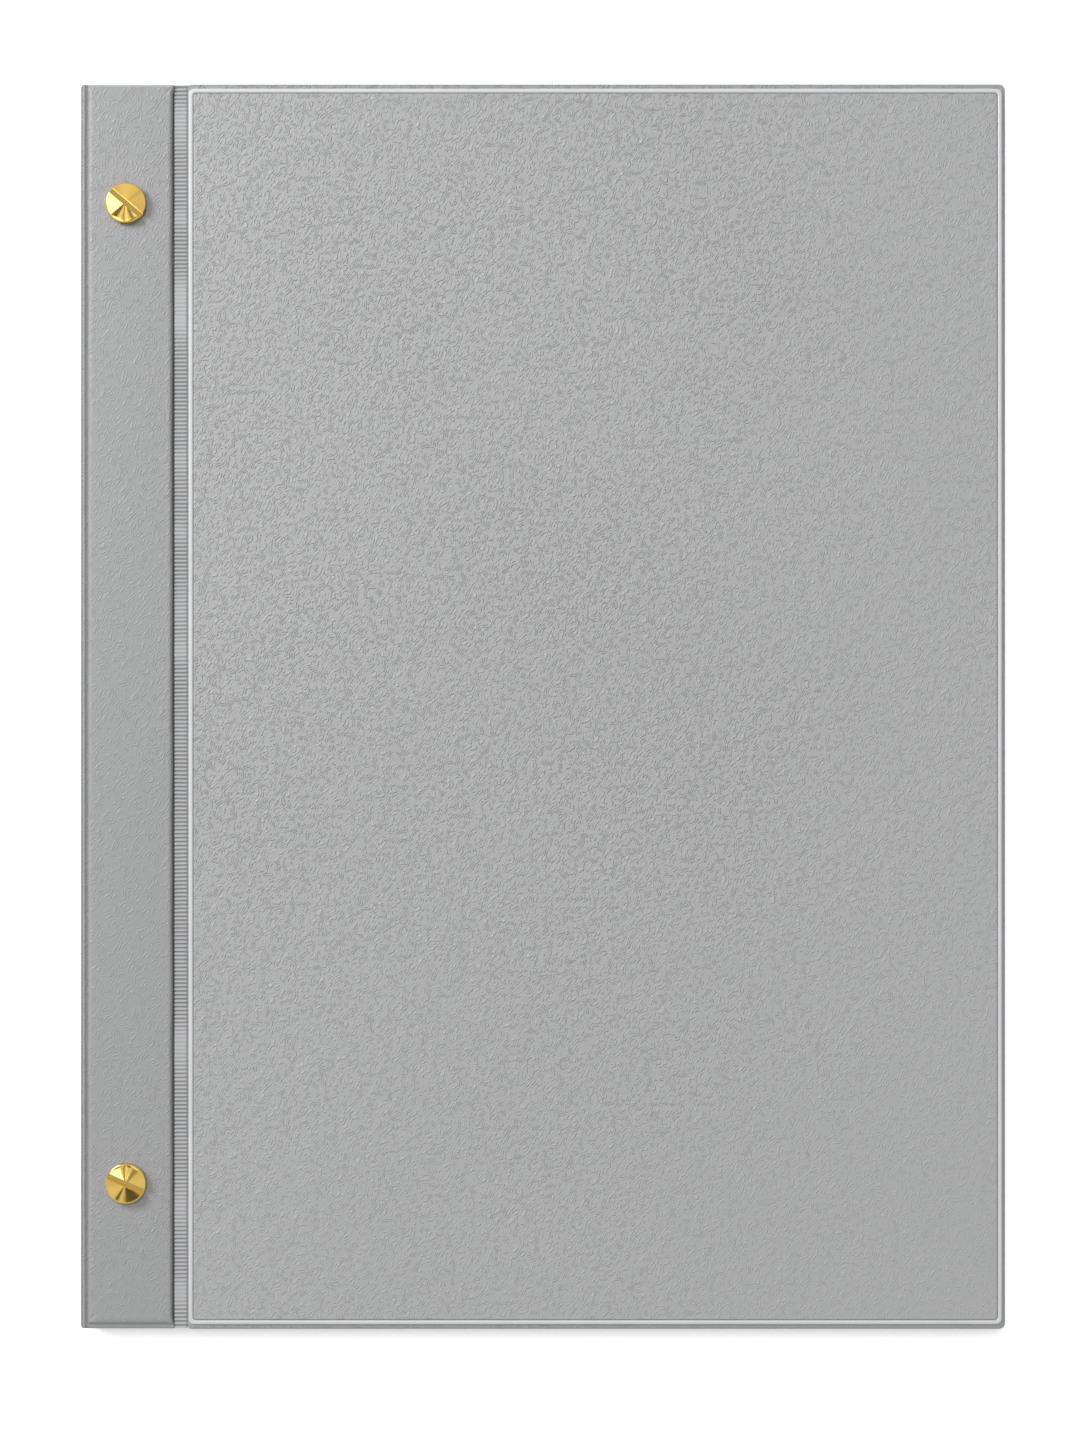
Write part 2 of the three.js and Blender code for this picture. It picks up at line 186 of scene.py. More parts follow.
def vinylMaterial(name, look, fade=False, shaded=False):
    material, nodes, links, shader = newMaterial(name)
    place = addNode(nodes, "ShaderNodeTexCoord").outputs["Object"]
    turned = addMapping(nodes, links, place, turn=(0, 0, look["creaseTurn"]))
    split = addNode(nodes, "ShaderNodeSeparateXYZ")
    links.new(turned, split.inputs[0])
    # wavy creases: a wave across their run, whose phase wanders with a noise
    wander = addNoise(nodes, links, place, look["swirlScale"], 2.0, 0.45)
    across = addMath(nodes, links, "MULTIPLY", split.outputs["X"], 2 * math.pi / look["creasePitch"])
    drift = addMath(nodes, links, "MULTIPLY", wander.outputs["Fac"], look["swirl"])
    wave = addMath(nodes, links, "SINE", addMath(nodes, links, "ADD", across, drift))
    crease = addRange(nodes, links, wave, -0.4, 1.0, 0.0, 1.0, True)
    # short runs: a second noise breaks the creases up
    breaks = addNoise(nodes, links, place, look["breakScale"], 2.0, 0.5)
    run = addRange(nodes, links, breaks.outputs["Fac"], 0.42, 0.62, 0.12, 1.0, True)
    ridge = addMath(nodes, links, "MULTIPLY", crease, run)
    fine = addNoise(nodes, links, place, look["fineScale"], 2.0, 0.6)
    grit = addMath(nodes, links, "MULTIPLY", fine.outputs["Fac"], look["fineDepth"])
    height = addMath(nodes, links, "ADD", ridge, grit)
    patches = addNoise(nodes, links, place, look["patchScale"], 3.0, 0.55)
    flatter = addRange(nodes, links, patches.outputs["Fac"], 0.3, 0.7, 0.7, 1.0)
    height = addMath(nodes, links, "MULTIPLY", height, flatter)
    if fade:
        least = wornGrain["least"]
        spot = addNode(nodes, "ShaderNodeSeparateXYZ")
        links.new(place, spot.inputs[0])
        start = wornGrain["start"]
        acrossWear = addRange(nodes, links, spot.outputs["X"], start, halfWidth, 1.0, least, True)
        downWear = addRange(nodes, links, spot.outputs["Y"], -halfHeight, 0.0, least, 1.0, True)
        wear = addMath(nodes, links, "MULTIPLY", acrossWear, downWear)
        height = addMath(nodes, links, "MULTIPLY", height, wear)
    links.new(addBump(nodes, links, height, look["depth"]), shader.inputs["Normal"])
    cloud = addNoise(nodes, links, place, look["cloudScale"], 4.0, 0.6)
    tone = addRange(nodes, links, cloud.outputs["Fac"], 0.3, 0.7, 0.15, 0.5)
    # painted highlight along each crease: its crest is painted paler
    crest = addMath(nodes, links, "MULTIPLY", ridge, look["crestHighlight"])
    factor = addMath(nodes, links, "ADD", tone, crest, clamp=True)
    grey = addMix(nodes, links, factor, look["color"], look["paleColor"])
    # painted shade: the rim outside the bead is painted darker towards the edge
    if fade:
        reach = addNode(nodes, "ShaderNodeVectorMath", operation="ABSOLUTE")
        links.new(place, reach.inputs[0])
        ends = addNode(nodes, "ShaderNodeSeparateXYZ")
        links.new(reach.outputs[0], ends.inputs[0])
        inX = addMath(nodes, links, "SUBTRACT", halfWidth, ends.outputs["X"])
        inY = addMath(nodes, links, "SUBTRACT", halfHeight - rimShade["wider"], ends.outputs["Y"])
        inset = addMath(nodes, links, "MINIMUM", inX, inY)
        rimShadeAmount = addRange(
            nodes, links, inset, rimShade["full"], rimShade["none"], rimShade["amount"], 0.0, True,
        )
        grey = addMix(nodes, links, rimShadeAmount, grey, tuple(rimShade["tone"] * c for c in look["color"]))
    # painted shade: the grooves are painted darker by the shade value of each point
    if shaded:
        shade = addNode(nodes, "ShaderNodeAttribute", attribute_name="shade")
        grooveShade = addMath(nodes, links, "SUBTRACT", 1.0, shade.outputs["Fac"])
        grey = addMix(nodes, links, grooveShade, grey, look["grooveShade"])
    links.new(grey, shader.inputs["Base Color"])
    rough = look["roughness"]
    uneven = addRange(nodes, links, patches.outputs["Fac"], 0.3, 0.7, rough - 0.05, rough + 0.06)
    links.new(uneven, shader.inputs["Roughness"])
    shader.inputs["Specular IOR Level"].default_value = look["gloss"]
    return material


paleBead = {
    "color": (0.54, 0.545, 0.555),
    "milky": (0.64, 0.645, 0.655),
    "roughness": 0.26,
    "roughSpread": 0.15,
    "ripple": 0.05 * mm,
    "coat": 0.35,
    "coatRoughness": 0.1,
}


def beadMaterial():
    look = paleBead
    material, nodes, links, shader = newMaterial("paleBeadVinyl")
    place = addNode(nodes, "ShaderNodeTexCoord").outputs["Object"]
    cloud = addNoise(nodes, links, place, 60.0, 3.0, 0.6)
    color = addMix(nodes, links, cloud.outputs["Fac"], look["color"], look["milky"])
    links.new(color, shader.inputs["Base Color"])
    ripple = addNoise(nodes, links, place, 700.0, 2.0, 0.5)
    links.new(addBump(nodes, links, ripple.outputs["Fac"], look["ripple"]), shader.inputs["Normal"])
    rough = look["roughness"]
    uneven = addRange(nodes, links, cloud.outputs["Fac"], 0.3, 0.7, rough, rough + look["roughSpread"])
    links.new(uneven, shader.inputs["Roughness"])
    shader.inputs["Coat Weight"].default_value = look["coat"]
    shader.inputs["Coat Roughness"].default_value = look["coatRoughness"]
    return material


polishedBrass = {
    "color": (0.83, 0.565, 0.15),
    "deep": (0.76, 0.50, 0.12),
    "roughness": 0.055,
    "tarnish": 0.03,  # how much rougher the stains are
    "stainScale": 240.0,
    "ringPhase": 24000.0,  # radians per metre of radius
    "ringSheen": 0.006,
}


def brassMaterial():
    look = polishedBrass
    material, nodes, links, shader = newMaterial("polishedBrass")
    place = addNode(nodes, "ShaderNodeTexCoord").outputs["Object"]
    split = addNode(nodes, "ShaderNodeSeparateXYZ")
    links.new(place, split.inputs[0])
    across = addMath(nodes, links, "MULTIPLY", split.outputs["X"], split.outputs["X"])
    away = addMath(nodes, links, "MULTIPLY", split.outputs["Y"], split.outputs["Y"])
    radius = addMath(nodes, links, "SQRT", addMath(nodes, links, "ADD", across, away))
    rings = addMath(nodes, links, "SINE", addMath(nodes, links, "MULTIPLY", radius, look["ringPhase"]))
    ringSheen = addMath(nodes, links, "MULTIPLY", rings, look["ringSheen"])
    stain = addNoise(nodes, links, place, look["stainScale"], 3.0, 0.5)
    tone = addRange(nodes, links, stain.outputs["Fac"], 0.4, 0.75, 0.0, 0.25, True)
    links.new(addMix(nodes, links, tone, look["color"], look["deep"]), shader.inputs["Base Color"])
    rough = look["roughness"]
    worn = addRange(nodes, links, stain.outputs["Fac"], 0.35, 0.7, rough, rough + look["tarnish"], True)
    links.new(addMath(nodes, links, "ADD", worn, ringSheen), shader.inputs["Roughness"])
    shader.inputs["Metallic"].default_value = 1.0
    return material


pulpBoard = {
    "color": (0.22, 0.20, 0.17),
    "paleColor": (0.36, 0.34, 0.30),
    "fibres": (400, 1400, 400),  # noise scale on each axis
    "bump": 0.06 * mm,
    "roughness": 0.9,
}


def boardMaterial():
    look = pulpBoard
    material, nodes, links, shader = newMaterial("greyBoard")
    place = addNode(nodes, "ShaderNodeTexCoord").outputs["Object"]
    pulp = addNoise(nodes, links, addMapping(nodes, links, place, scale=look["fibres"]), 1.0, 4.0, 0.65)
    color = addMix(nodes, links, pulp.outputs["Fac"], look["color"], look["paleColor"])
    links.new(color, shader.inputs["Base Color"])
    links.new(addBump(nodes, links, pulp.outputs["Fac"], look["bump"]), shader.inputs["Normal"])
    shader.inputs["Roughness"].default_value = look["roughness"]
    return material


# plain white sheet seen through its pocket of clear film
sheetInFilm = {
    "color": (0.50, 0.51, 0.517),
    "paleColor": (0.56, 0.567, 0.573),
    "ripples": (30, 14, 30),  # noise scale on each axis
    "rippleBump": 1.2 * mm,
    "grainScale": 1800.0,
    "grainBump": 0.008 * mm,
    "roughness": (0.42, 0.5),
    "coat": 0.08,
    "coatRoughness": 0.2,
}


def sheetMaterial():
    look = sheetInFilm
    material, nodes, links, shader = newMaterial("pocketFilmOverSheet")
    place = addNode(nodes, "ShaderNodeTexCoord").outputs["Object"]
    ripple = addNoise(nodes, links, addMapping(nodes, links, place, scale=look["ripples"]), 1.0, 3.0, 0.5)
    grain = addNoise(nodes, links, place, look["grainScale"], 2.0, 0.6)
    color = addMix(nodes, links, grain.outputs["Fac"], look["color"], look["paleColor"])
    links.new(color, shader.inputs["Base Color"])
    wide = addBump(nodes, links, ripple.outputs["Fac"], look["rippleBump"])
    normal = addBump(nodes, links, grain.outputs["Fac"], look["grainBump"], 1.0, wide)
    links.new(normal, shader.inputs["Normal"])
    rough = addRange(nodes, links, ripple.outputs["Fac"], 0.3, 0.7, *look["roughness"])
    links.new(rough, shader.inputs["Roughness"])
    shader.inputs["Coat Weight"].default_value = look["coat"]
    shader.inputs["Coat Roughness"].default_value = look["coatRoughness"]
    return material


# welded border of a pocket, where there is no sheet behind the film
weldedFilm = {
    "color": (0.52, 0.532, 0.54),
    "paleColor": (0.60, 0.612, 0.62),
    "knurlScale": 260.0,
    "knurlBump": 0.03 * mm,
    "hazeScale": 90.0,
    "roughness": (0.18, 0.32),
}


def filmMaterial():
    look = weldedFilm
    material, nodes, links, shader = newMaterial("weldedPocketFilm")
    place = addNode(nodes, "ShaderNodeTexCoord").outputs["Object"]
    knurl = addNode(nodes, "ShaderNodeTexWave", wave_type="BANDS", bands_direction="DIAGONAL")
    knurl.inputs["Scale"].default_value = look["knurlScale"]
    links.new(place, knurl.inputs["Vector"])
    haze = addNoise(nodes, links, place, look["hazeScale"], 3.0, 0.5)
    color = addMix(nodes, links, haze.outputs["Fac"], look["color"], look["paleColor"])
    links.new(color, shader.inputs["Base Color"])
    links.new(addBump(nodes, links, knurl.outputs["Fac"], look["knurlBump"]), shader.inputs["Normal"])
    rough = addRange(nodes, links, haze.outputs["Fac"], 0.3, 0.7, *look["roughness"])
    links.new(rough, shader.inputs["Roughness"])
    return material


coverGrain = vinylMaterial("embossedCoverVinyl", coverVinyl, fade=True)
stripGrain = vinylMaterial("softStripVinyl", stripVinyl)
webGrain = vinylMaterial("ribbedWebVinyl", webVinyl)
weldGrain = vinylMaterial("weldedVinyl", stripVinyl, shaded=True)
ribGrain = vinylMaterial("groovedVinyl", webVinyl, shaded=True)
innerGrain = vinylMaterial("liningVinyl", liningVinyl)
beadGloss = beadMaterial()
brassPolished = brassMaterial()
boardPulp = boardMaterial()
sheetWhite = sheetMaterial()
filmClear = filmMaterial()
print("materials ready")


def dress(node, material):
    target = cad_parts[node]
    for materialSlot in target.material_slots:
        materialSlot.link = "OBJECT"
        materialSlot.material = material


finishOfNode = {
    "front_panel_skin": coverGrain, "back_panel_skin": coverGrain,
    "front_panel_bead": beadGloss, "back_panel_bead": beadGloss,
    "front_panel_lining": innerGrain, "back_panel_lining": innerGrain,
    "front_strip_skin": stripGrain, "back_strip_skin": stripGrain,
    "front_strip_lining": innerGrain, "back_strip_lining": innerGrain,
    "front_web": webGrain, "back_web": webGrain,
    "spine_skin": stripGrain, "spine_lining": innerGrain,
    "spine_board": boardPulp, "front_panel_board": boardPulp, "back_panel_board": boardPulp,
    "front_strip_board": boardPulp, "back_strip_board": boardPulp,
    "pocket_pages": sheetWhite,
    "upper_screw": brassPolished, "lower_screw": brassPolished,
    "upper_post": brassPolished, "lower_post": brassPolished,
}
for nodeName, material in finishOfNode.items():
    dress(nodeName, material)


def newPiece(name, vertices, faces, material, smooth=True, shade=None):
    mesh = bpy.data.meshes.new(name)
    mesh.from_pydata([tuple(v) for v in vertices], [], faces)
    mesh.update()
    if shade:
        # how much painted shade each point gets in the grooves, 1 where there is none
        mesh.attributes.new("shade", "FLOAT", "POINT").data.foreach_set("value", shade)
    piece = bpy.data.objects.new(name, mesh)
    scene.collection.objects.link(piece)
    mesh.materials.append(material)
    for polygon in mesh.polygons:
        polygon.use_smooth = smooth
    if smooth:
        mesh.set_sharp_from_angle(angle=math.radians(48))
    return piece


def slabFromGrid(across, along, topOf, bottomOf):
    # closed slab over a grid of x and y stations, with its own height above and below
    columns, rows = len(across), len(along)
    top = [(x, y, topOf(x, y)) for y in along for x in across]
    bottom = [(x, y, bottomOf(x, y)) for y in along for x in across]
    count = columns * rows
    faces = []
    for row in range(rows - 1):
        for column in range(columns - 1):
            a = row * columns + column
            faces.append((a, a + 1, a + columns + 1, a + columns))
            faces.append((count + a, count + a + columns, count + a + columns + 1, count + a + 1))
    edge = list(range(columns))
    edge += [row * columns + columns - 1 for row in range(1, rows)]
    edge += [(rows - 1) * columns + column for column in range(columns - 2, -1, -1)]
    edge += [row * columns for row in range(rows - 2, 0, -1)]
    for i, a in enumerate(edge):
        b = edge[(i + 1) % len(edge)]
        faces.append((a, count + a, count + b, b))
    return top + bottom, faces


def smoothStep(low, high, value):
    t = min(1.0, max(0.0, (value - low) / (high - low)))
    return t * t * (3 - 2 * t)


def wave1d(seed, terms, shortest, longest):
    # slow random wave along one direction, the same on each run
    draw = random.Random(seed)
    parts = [
        (2 * math.pi / draw.uniform(shortest, longest), draw.uniform(0, 2 * math.pi), draw.uniform(0.5, 1))
        for i in range(terms)
    ]
    total = sum(size for pitch, phase, size in parts)
    return lambda y: sum(size * math.sin(pitch * y + phase) for pitch, phase, size in parts) / total


def stations(low, high, coarse, fine, fineLength):
    # stations that are close together near both ends
    ends = np.arange(0, fineLength, fine)
    count = max(2, int((high - low - 2 * fineLength) / coarse))
    middle = np.linspace(low + fineLength, high - fineLength, count)
    places = [low + e for e in ends] + list(middle) + [high - e for e in ends]
    # rounded, so that places that meet count once
    return sorted(set(round(place, 7) for place in places))


# padded strip with pinched corners
paddedStrip = {
    "rise": 1.1 * mm,
    "backRise": 0.4 * mm,
    "start": 0.99 * mm,  # from the spine
    "leftFromSpine": 2.0 * mm,
    "right": stripBox[1][0] + 0.2 * mm,
    "margin": 0.5 * mm,  # how far the skin goes on beyond that
    "flare": 0.62 * mm,  # the right side runs out at the head and the tail
    "flareLength": 4.5 * mm,
    "headInset": 0.45 * mm,
    "tailInset": 1.5 * mm,
    "shoulder": 1.45 * mm,
    "leftShoulder": 1.35 * mm,
    "leftFullness": 1.75,
    "headShoulder": 1.0 * mm,
    "tailShoulder": 1.9 * mm,
    "fullness": 2.5,  # 2 is a round shoulder, more is squarer
    "crown": 0.16 * mm,
    "pinch": 0.35 * mm,
    "pinchLength": 3.2 * mm,
    "pinchWidth": 0.35 * mm,
    "pinchSlope": 0.75,
    "softness": 0.05 * mm,
    "wander": 0.12 * mm,
    "sideDrop": 1.6 * mm,
    "dropWidth": 0.12 * mm,
    "endRoll": 0.35 * mm,
    "rollReach": (0.1 * mm, 0.6 * mm),
    # the wide step, the fine step and how far the fine ones reach
    "stepsAcross": (0.7 * mm, 0.16 * mm, 3.2 * mm),
    "stepsAlong": (2.0 * mm, 0.22 * mm, 6 * mm),
    "endGap": 0.15 * mm,
    "fill": 0.9,
}


def stripPillow(name, box, node, side, rise):
    look = paddedStrip
    left = spineSide + look["leftFromSpine"]
    face = box[1][2] if side > 0 else box[0][2]
    rest = box[0][2] if side > 0 else box[1][2]
    seam = face - side * rise
    rightWave = wave1d(11, 7, 22 * mm, 90 * mm)
    leftWave = wave1d(12, 7, 18 * mm, 70 * mm)
    bulge = wave1d(13, 6, 30 * mm, 120 * mm)

    def topOf(x, y):
        fromEnd = halfHeight - abs(y)
        endInset = look["headInset"] if y > 0 else look["tailInset"]
        flare = look["flare"] * (1 - smoothStep(0, look["flareLength"], fromEnd)) ** 2
        right = look["right"] + flare + look["wander"] * rightWave(y)
        leftEdge = left + look["wander"] * leftWave(y)
        inX = min(x - leftEdge, right - x)
        inY = fromEnd - endInset
        # the shoulders meet in a mitre at each corner
        sideShoulder = look["leftShoulder"] if x - leftEdge < right - x else look["shoulder"]
        endShoulder = look["headShoulder"] if y > 0 else look["tailShoulder"]
        t = min(1.0, max(0.0, min(inX / sideShoulder, inY / endShoulder)))
        onLeft = inX / sideShoulder < inY / endShoulder and x - leftEdge < right - x
        fullness = look["leftFullness"] if onLeft else look["fullness"]
        height = rise * max(0.0, 1 - (1 - t) ** fullness) ** (1 / fullness)
        middle = (x - leftEdge) / max(1e-9, right - leftEdge)
        crown = look["crown"] * (4 * middle * (1 - middle) - 1) * (1 if t >= 1 else t)
        # diagonal creases run in from the corners
        diagonal = abs(inX - inY * look["pinchSlope"])
        reach = 1 - smoothStep(0, look["pinchLength"], max(inX, inY))
        crease = look["pinch"] * reach * math.exp(-(diagonal / look["pinchWidth"]) ** 2) * t
        soft = look["softness"] * bulge(y) * t
        value = height + crown - crease + soft * rise / look["rise"]
        # beside the web the pad drops straight down, and its ends roll over the board
        drop = look["sideDrop"] * smoothStep(0, look["dropWidth"], x - right) * rise / look["rise"]
        roll = look["endRoll"] * (1 - smoothStep(*look["rollReach"], fromEnd)) * rise / look["rise"]
        return seam + side * (min(rise, max(0.0, value)) - drop - roll)

    across = stations(spineSide + look["start"], look["right"] + look["margin"], *look["stepsAcross"])
    along = stations(-halfHeight + look["endGap"], halfHeight - look["endGap"], *look["stepsAlong"])
    vertices, faces = slabFromGrid(across, along, topOf, lambda x, y: rest)
    if side < 0:
        faces = [tuple(reversed(f)) for f in faces]
    pillow = newPiece(name, vertices, faces, stripGrain)
    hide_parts(node)
    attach(pillow, "binding")


stripPillow("front_strip_pad", stripBox, "front_strip_skin", 1, paddedStrip["rise"])
stripPillow("back_strip_pad", backStripBox, "back_strip_skin", -1, paddedStrip["backRise"])
print("padded strips ready")


# serrated weld along the spine
weldSeam = {
    "left": 0.36 * mm,
    "right": 1.8 * mm,
    "pitch": 0.95 * mm,
    "toothDepth": 0.5 * mm,
    "toothLine": 0.62 * mm,
    "toothWidth": 0.17 * mm,
    "grooveShade": 0.8,
    "body": 0.17 * mm,
    "ridge": 0.3 * mm,
    "ridgeLine": 1.18 * mm,
    "ridgeWidth": 0.2 * mm,
    "edgeWidth": 0.14 * mm,
    "fallWidth": 0.35 * mm,
    "wander": 0.05 * mm,
    "pitchWander": 0.15 * mm,
    "columns": 18,
    "columnStep": 0.09 * mm,
    "rowsPerTooth": 6,
    "endGap": 0.35 * mm,
    "thickness": 0.35 * mm,
    "frontDrop": 1.02 * mm,  # below the face of the strip
    "backDrop": 0.32 * mm,
}


def seamWeld(name, level, side, ridgeScale):
    look = weldSeam
    wander = wave1d(21 + side, 7, 15 * mm, 60 * mm)

    def toothOf(x, y):
        fromSpine = x - spineSide + look["wander"] * wander(y)
        # 0 between the teeth and off their line, 1 in the middle of a tooth
        notch = 0.5 + 0.5 * math.cos(2 * math.pi * (y + look["pitchWander"] * wander(y)) / look["pitch"])
        return (0.25 + 0.75 * notch) * math.exp(-((fromSpine - look["toothLine"]) / look["toothWidth"]) ** 2)

    def topOf(x, y):
        fromSpine = x - spineSide + look["wander"] * wander(y)
        ridge = look["ridge"] * math.exp(-((fromSpine - look["ridgeLine"]) / look["ridgeWidth"]) ** 2)
        dent = look["toothDepth"] * toothOf(x, y)
        edge = smoothStep(look["left"], look["left"] + look["edgeWidth"], fromSpine)
        fall = 1 - smoothStep(look["right"] - look["fallWidth"], look["right"], fromSpine)
        body = (look["body"] + ridge - dent) * ridgeScale
        return level + side * body * edge * fall

    across = [spineSide + look["left"] + i * look["columnStep"] for i in range(look["columns"])]
    half = halfHeight - look["endGap"]
    rows = int(2 * half / (look["pitch"] / look["rowsPerTooth"]))
    along = [-half + 2 * half * i / rows for i in range(rows + 1)]
    vertices, faces = slabFromGrid(across, along, topOf, lambda x, y: level - side * look["thickness"])
    if side < 0:
        faces = [tuple(reversed(f)) for f in faces]
    # painted shade in the dents of the teeth
    shade = [1 - look["grooveShade"] * toothOf(x, y) for y in along for x in across]
    shade += [1.0] * len(shade)
    weld = newPiece(name, vertices, faces, weldGrain, shade=shade)
    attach(weld, "binding")


seamWeld("front_seam_weld", stripBox[1][2] - weldSeam["frontDrop"], 1, 1.0)
seamWeld("back_seam_weld", backStripBox[0][2] + weldSeam["backDrop"], -1, 0.6)
print("weld seams ready")


# ribbed webs, each in a half beside the strip and a half beside the cover
ribbedWeb = {
    "pitch": 1.01 * mm,
    "rib": 0.42 * mm,
    "grooveShade": 0.6,
    "thickness": 1.6 * mm,
    "tuck": 0.75 * mm,  # how far the sheet runs in beyond the web on each side
    "groove": 1.4 * mm,  # how deep the sheet dives beside the pad
    "coverGroove": 0.45 * mm,  # and beside the cover
    "reach": (-0.16, 0.04, 0.94, 1.05),  # where the sheet rises and dives, as shares of the width of the web
    "sag": 0.048 * mm,
    "lean": 0.1 * mm,
    "sharpness": 1.6,  # more makes the grooves narrower
    "flats": 16,  # stretches with weaker ribs
    "flatLength": (2, 6),  # in millimetres
    "flatDepth": (0.3, 0.8),
    "foldReach": 0.55 * mm,
    "endGap": 0.3 * mm,
    "stepsPerRib": 6,
    "columns": 9,
}


def ribWeb(side, box):
    look = ribbedWeb
    word = "front" if side > 0 else "back"
    crest = box[1][2] if side > 0 else box[0][2]
    left, right = box[0][0] - look["tuck"], box[1][0] + look["tuck"] * 0.6
    middle = (box[0][0] + box[1][0]) / 2
    press = wave1d(31 + side, 9, 9 * mm, 60 * mm)
    lean = wave1d(35 + side, 7, 14 * mm, 80 * mm)
    draw = random.Random(41 + side)
    flats = []
    for i in range(look["flats"]):
        centre = draw.uniform(-halfHeight, halfHeight)
        length = draw.uniform(*look["flatLength"]) * mm
        flats.append((centre, length, draw.uniform(*look["flatDepth"])))

    def shareOf(x):
        return (x - box[0][0]) / (box[1][0] - box[0][0])

    def ribOf(x, y):
        # 0 on the crest of a rib, 1 in the deepest groove
        share = min(1.0, max(0.0, shareOf(x)))
        strength = 0.85 + 0.15 * press(y)
        for centre, length, amount in flats:
            strength *= 1 - amount * math.exp(-((y - centre) / length) ** 2)
        phase = 2 * math.pi * (y + look["lean"] * lean(y) * (share - 0.5)) / look["pitch"]
        return (0.5 - 0.5 * math.cos(phase)) ** look["sharpness"] * strength

    def topOf(x, y):
        share = shareOf(x)
        riseStart, riseEnd, diveStart, diveEnd = look["reach"]
        body = smoothStep(riseStart, riseEnd, share) * (1 - smoothStep(diveStart, diveEnd, share))
        rib = look["rib"] * ribOf(x, y)
        sag = look["sag"] * math.sin(math.pi * min(1.0, max(0.0, share)))
        drop = (look["groove"] if share < 0.5 else look["coverGroove"]) * (1 - body)
        return crest - side * (rib * body + sag + drop)

    half = halfHeight - look["endGap"]
    rows = int(2 * half / (look["pitch"] / look["stepsPerRib"]))
    along = [-half + 2 * half * i / rows for i in range(rows + 1)]
    halves = (
        ("strip", left, middle, ("binding", word + "_hinge"), box[0][0]),
        ("cover", middle, right, (word + "_hinge", word + "_cover"), box[1][0]),
    )
    for part, low, high, pair, fold in halves:
        across = [low + (high - low) * i / look["columns"] for i in range(look["columns"] + 1)]
        vertices, faces = slabFromGrid(across, along, topOf, lambda x, y: crest - side * look["thickness"])
        if side < 0:
            faces = [tuple(reversed(f)) for f in faces]
        # painted shade in the grooves between the ribs
        shade = [1 - look["grooveShade"] * ribOf(x, y) for y in along for x in across]
        shade += [1.0] * len(shade)
        piece = newPiece(f"{word}_web_{part}_side", vertices, faces, ribGrain, shade=shade)
        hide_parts(word + "_web")
        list(pair)
        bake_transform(piece)


ribWeb(1, webBox)
ribWeb(-1, backWebBox)
print("ribbed webs ready")


# brass screws and the posts under them
brassScrew = {
    "segments": 144,
    "radius": 5.15 * mm,
    "wall": 1.6 * mm,
    "bevel": 0.35 * mm,
    "bevelTurn": math.radians(72),
    "cone": 0.4 * mm,
    "coneSteps": 8,
    "footBevel": 0.15 * mm,
    "shank": 1.7 * mm,
    "clearance": 0.02 * mm,  # to the vinyl under a head
    "slotWidth": 1.3 * mm,
    "slotDepth": 0.95 * mm,
    "slotFlare": 0.15 * mm,
    "slotTurns": {"upper": math.radians(-40), "lower": math.radians(-24)},
}


def turnedPiece(name, profile, segments, material):
    # closed form of revolution about z, from the bottom of the axis to its top
    vertices = [(0, 0, profile[0][1])]
    for radius, z in profile[1:-1]:
        for i in range(segments):
            angle = 2 * math.pi * i / segments
            vertices.append((radius * math.cos(angle), radius * math.sin(angle), z))
    vertices.append((0, 0, profile[-1][1]))
    rings = len(profile) - 2
    faces = []
    for i in range(segments):
        j = (i + 1) % segments
        faces.append((0, 1 + j, 1 + i))
        for ring in range(rings - 1):
            a = 1 + ring * segments
            faces.append((a + i, a + j, a + segments + j, a + segments + i))
        last = 1 + (rings - 1) * segments
        faces.append((last + i, last + j, len(vertices) - 1))
    return newPiece(name, vertices, faces, material)


def applyModifiers(piece):
    bpy.context.view_layer.update()
    evaluated = piece.evaluated_get(bpy.context.evaluated_depsgraph_get())
    mesh = bpy.data.meshes.new_from_object(evaluated)
    piece.modifiers.clear()
    piece.data = mesh


def arcPoints(centreRadius, centreLevel, radius, fromAngle, toAngle, steps):
    return [
        (centreRadius + radius * math.cos(a), centreLevel + radius * math.sin(a))
        for a in (fromAngle + (toAngle - fromAngle) * i / steps for i in range(steps + 1))
    ]


def middleOf(box):
    return (box[0][0] + box[1][0]) / 2, (box[0][1] + box[1][1]) / 2


def screwHead(word):
    look = brassScrew
    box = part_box(word + "_screw")
    centre = Vector((*middleOf(box), stripBox[1][2] + look["clearance"]))
    rim = look["wall"] + look["bevel"]
    top = rim + look["cone"]
    edge, foot, steps = look["bevel"], look["footBevel"], look["coneSteps"]
    low = box[0][2] - centre.z
    profile = [(0, low), (look["shank"], low), (look["shank"], 0)]
    profile += arcPoints(look["radius"] - foot, foot, foot, -math.pi / 2, 0, 3)
    profile += arcPoints(look["radius"] - edge, look["wall"], edge, 0, look["bevelTurn"], 6)
    profile += [
        ((look["radius"] - edge) * (1 - i / steps), rim + (top - rim) * i / steps)
        for i in range(steps)
    ]
    profile += [(0, top - 0.01 * mm)]
    head = turnedPiece(word + "_slotted_screw", profile, look["segments"], brassPolished)
    cutterMesh = bpy.data.meshes.new("slotCutter")
    tool = bmesh.new()
    bmesh.ops.create_cube(tool, size=1.0)
    for vertex in tool.verts:
        lean = look["slotFlare"] if vertex.co.z > 0 else 0
        vertex.co.x *= 4 * look["radius"]
        vertex.co.y *= look["slotWidth"] + 2 * lean
        vertex.co.z = top + look["slotFlare"] if vertex.co.z > 0 else rim - look["slotDepth"]
    tool.to_mesh(cutterMesh)
    tool.free()
    cutter = bpy.data.objects.new("slotCutter", cutterMesh)
    scene.collection.objects.link(cutter)
    cut = head.modifiers.new("slot", "BOOLEAN")
    cut.object = cutter
    cut.operation = "DIFFERENCE"
    cut.solver = "EXACT"
    applyModifiers(head)
    bpy.data.objects.remove(cutter)
    for polygon in head.data.polygons:
        polygon.use_smooth = True
    head.data.set_sharp_from_angle(angle=math.radians(30))
    head.location = centre
    head.rotation_euler = (0, 0, look["slotTurns"][word])
    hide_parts(word + "_screw")
    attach(head, "binding")


